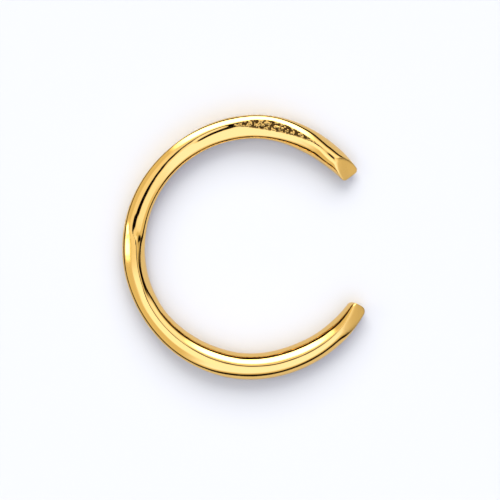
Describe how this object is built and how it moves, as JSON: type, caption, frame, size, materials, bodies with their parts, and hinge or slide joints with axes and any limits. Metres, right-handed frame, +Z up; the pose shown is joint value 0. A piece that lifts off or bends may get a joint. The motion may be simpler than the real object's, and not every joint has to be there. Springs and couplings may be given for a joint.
{
  "type": "ear cuff",
  "caption": "Plain polished gold ear cuff: a round wire bent to an open C with slant-cut ends and a shallow pressed flat, lying on its side.",
  "frame": {"origin": "middle of the underside of the whole piece's box, where it lies on its side", "axes": "+Z up along the axis of the C, +X towards its opening, +Y across it along the longest side"},
  "size_m": [0.011, 0.0122, 0.0012],
  "materials": {
    "polished_gold": "mirror polished 14 karat yellow gold"
  },
  "bodies": {
    "root": {"cuff_wire": "polished_gold"}
  },
  "joints": []
}
